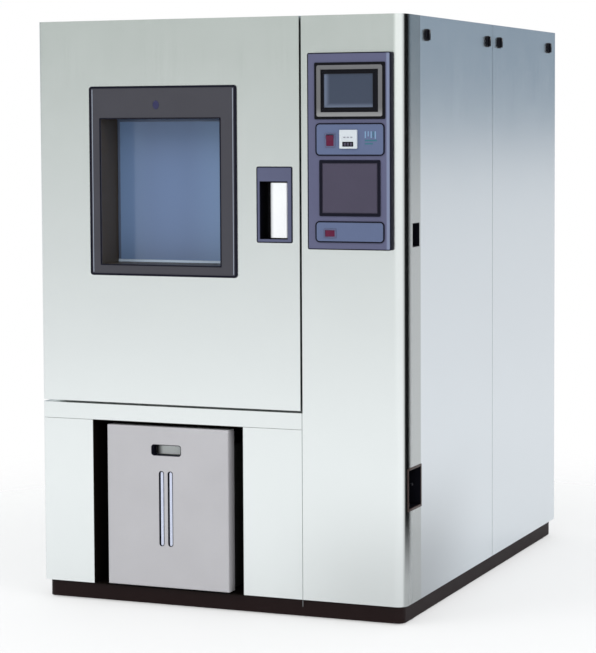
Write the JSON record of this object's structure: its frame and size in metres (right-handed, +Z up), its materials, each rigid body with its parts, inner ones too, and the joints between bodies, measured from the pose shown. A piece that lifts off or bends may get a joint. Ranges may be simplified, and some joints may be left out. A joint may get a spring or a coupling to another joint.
{
  "type": "environmental test chamber",
  "caption": "Free-standing climatic test chamber with a windowed hinged door, a control column, a pull-out water tank and a plinth base.",
  "frame": {"origin": "on the floor, under the middle of the whole object's box", "axes": "+Z up, the door and control panel face -Y, the door's hinges are on the -X side"},
  "size_m": [1.07, 1.455, 1.571],
  "materials": {
    "stainless": "fine satin",
    "steel_parts": "zinc plated",
    "polished_steel": "polished",
    "dark_paint": "satin paint",
    "window_trim": "satin paint",
    "handle_trim": "satin paint",
    "glass": "coated",
    "screen": "gloss",
    "panel_plastic": "satin paint",
    "black_plastic": "matte",
    "cover_grey": "smoked",
    "unit_white": "moulded",
    "breaker_grey": "moulded",
    "switch_red": "gloss",
    "tank_grey": "moulded",
    "foam": "rigid foam",
    "seal_rubber": "silicone",
    "coil_metal": "fins",
    "motor_grey": "paint",
    "brass_stub": "machined"
  },
  "bodies": {
    "cabinet": {"base_frame": "dark_paint", "plinth_skirt": "dark_paint", "levelling_feet": "steel_parts", "frame_members": "steel_parts", "left_side_panels": "stainless", "right_side_panels": "stainless", "top_panel": "stainless", "rear_panel": "stainless", "column_cover": "stainless", "breaker_recess": "black_plastic", "breaker_body": "breaker_grey", "side_port_recess": "black_plastic", "lower_front_panels": "stainless", "bay_liner": "dark_paint", "front_frame": "stainless", "inner_box": "stainless", "insulation": "foam", "rear_baffle": "stainless", "evaporator_coil": "coil_metal", "heater_coil": "steel_parts", "fan_motors": "motor_grey", "condenser": "coil_metal", "compressor": "dark_paint", "shelf_rails": "stainless", "wire_shelves": "stainless", "cable_port_sleeve": "stainless", "electrical_box": "motor_grey", "cable_gland": "black_plastic", "drain_outlet": "brass_stub", "latch_keeper": "steel_parts", "cabinet_hinges": "steel_parts", "control_panel_casing": "panel_plastic", "display_bezel": "black_plastic", "display_screen": "screen", "switch_subpanels": "panel_plastic", "overheat_protector": "unit_white", "blank_cover": "cover_grey"},
    "door": {"door_shell": "stainless", "door_core": "foam", "door_liner": "stainless", "window_frame": "window_trim", "window_panes": "glass", "door_gasket": "seal_rubber", "handle_cup": "handle_trim", "door_hinges": "steel_parts"},
    "paddle": {"handle_paddle": "polished_steel"},
    "hook": {"latch_hook": "steel_parts"},
    "tank": {"tank_fascia": "tank_grey", "tank_body": "tank_grey"},
    "main_rocker": {"power_rocker": "switch_red"},
    "small_rocker": {"lower_switch": "switch_red"},
    "toggle": {"breaker_toggle": "black_plastic"},
    "duct_fan": {"circulation_fan": "steel_parts"},
    "cooling_fan": {"condenser_fan": "motor_grey"},
    "port_plug": {"cable_port_plug": "seal_rubber"},
    "latch_1": {"side_latch_1": "black_plastic"},
    "latch_2": {"side_latch_2": "black_plastic"},
    "latch_3": {"side_latch_3": "black_plastic"},
    "latch_4": {"side_latch_4": "black_plastic"}
  },
  "joints": [
    {"name": "door_swing", "type": "hinge", "parent": "cabinet", "child": "door", "pos_m": [-0.53, -0.614, 1.0585], "axis": [0, 0, -1], "range_deg": [0, 120]},
    {"name": "handle_pull", "type": "hinge", "parent": "door", "child": "paddle", "pos_m": [0.198, -0.694, 1.0685], "axis": [0, 0, 1], "range_deg": [-12, 20], "stiffness_Nm_per_rad": 0.2},
    {"name": "latch_hook_turn", "type": "hinge", "parent": "door", "child": "hook", "pos_m": [0.191, -0.629, 1.083], "axis": [0, -1, 0], "range_deg": [-30, 50]},
    {"name": "tank_slide", "type": "slide", "parent": "cabinet", "child": "tank", "axis": [0, -1, 0], "range_m": [0, 0.3]},
    {"name": "power_rocker_tip", "type": "hinge", "parent": "cabinet", "child": "main_rocker", "pos_m": [0.333, -0.722, 1.2505], "axis": [1, 0, 0], "range_deg": [-16, 0]},
    {"name": "lower_switch_tip", "type": "hinge", "parent": "cabinet", "child": "small_rocker", "pos_m": [0.332, -0.722, 1.012], "axis": [0, 0, 1], "range_deg": [-16, 0]},
    {"name": "breaker_toggle_tip", "type": "hinge", "parent": "cabinet", "child": "toggle", "pos_m": [0.496, -0.62, 0.3495], "axis": [0, 1, 0], "range_deg": [0, 44]},
    {"name": "circulation_fan_spin", "type": "hinge", "parent": "cabinet", "child": "duct_fan", "pos_m": [-0.144, 0.3, 1.3335], "axis": [0, 1, 0], "continuous": true},
    {"name": "condenser_fan_spin", "type": "hinge", "parent": "cabinet", "child": "cooling_fan", "pos_m": [-0.144, -0.06, 0.217], "axis": [0, 1, 0], "continuous": true},
    {"name": "cable_plug_pull", "type": "slide", "parent": "cabinet", "child": "port_plug", "axis": [-1, 0, 0], "range_m": [0, 0.12]},
    {"name": "side_latch_turn_1", "type": "hinge", "parent": "cabinet", "child": "latch_1", "pos_m": [0.525, -0.525, 1.522], "axis": [1, 0, 0], "range_deg": [0, 90]},
    {"name": "side_latch_turn_2", "type": "hinge", "parent": "cabinet", "child": "latch_2", "pos_m": [0.525, 0, 1.522], "axis": [1, 0, 0], "range_deg": [0, 90]},
    {"name": "side_latch_turn_3", "type": "hinge", "parent": "cabinet", "child": "latch_3", "pos_m": [0.525, 0.112, 1.522], "axis": [1, 0, 0], "range_deg": [0, 90]},
    {"name": "side_latch_turn_4", "type": "hinge", "parent": "cabinet", "child": "latch_4", "pos_m": [0.525, 0.622, 1.522], "axis": [1, 0, 0], "range_deg": [0, 90]}
  ],
  "couplings": [
    {"joint": "latch_hook_turn", "follows": "handle_pull", "ratio": 2.5}
  ]
}
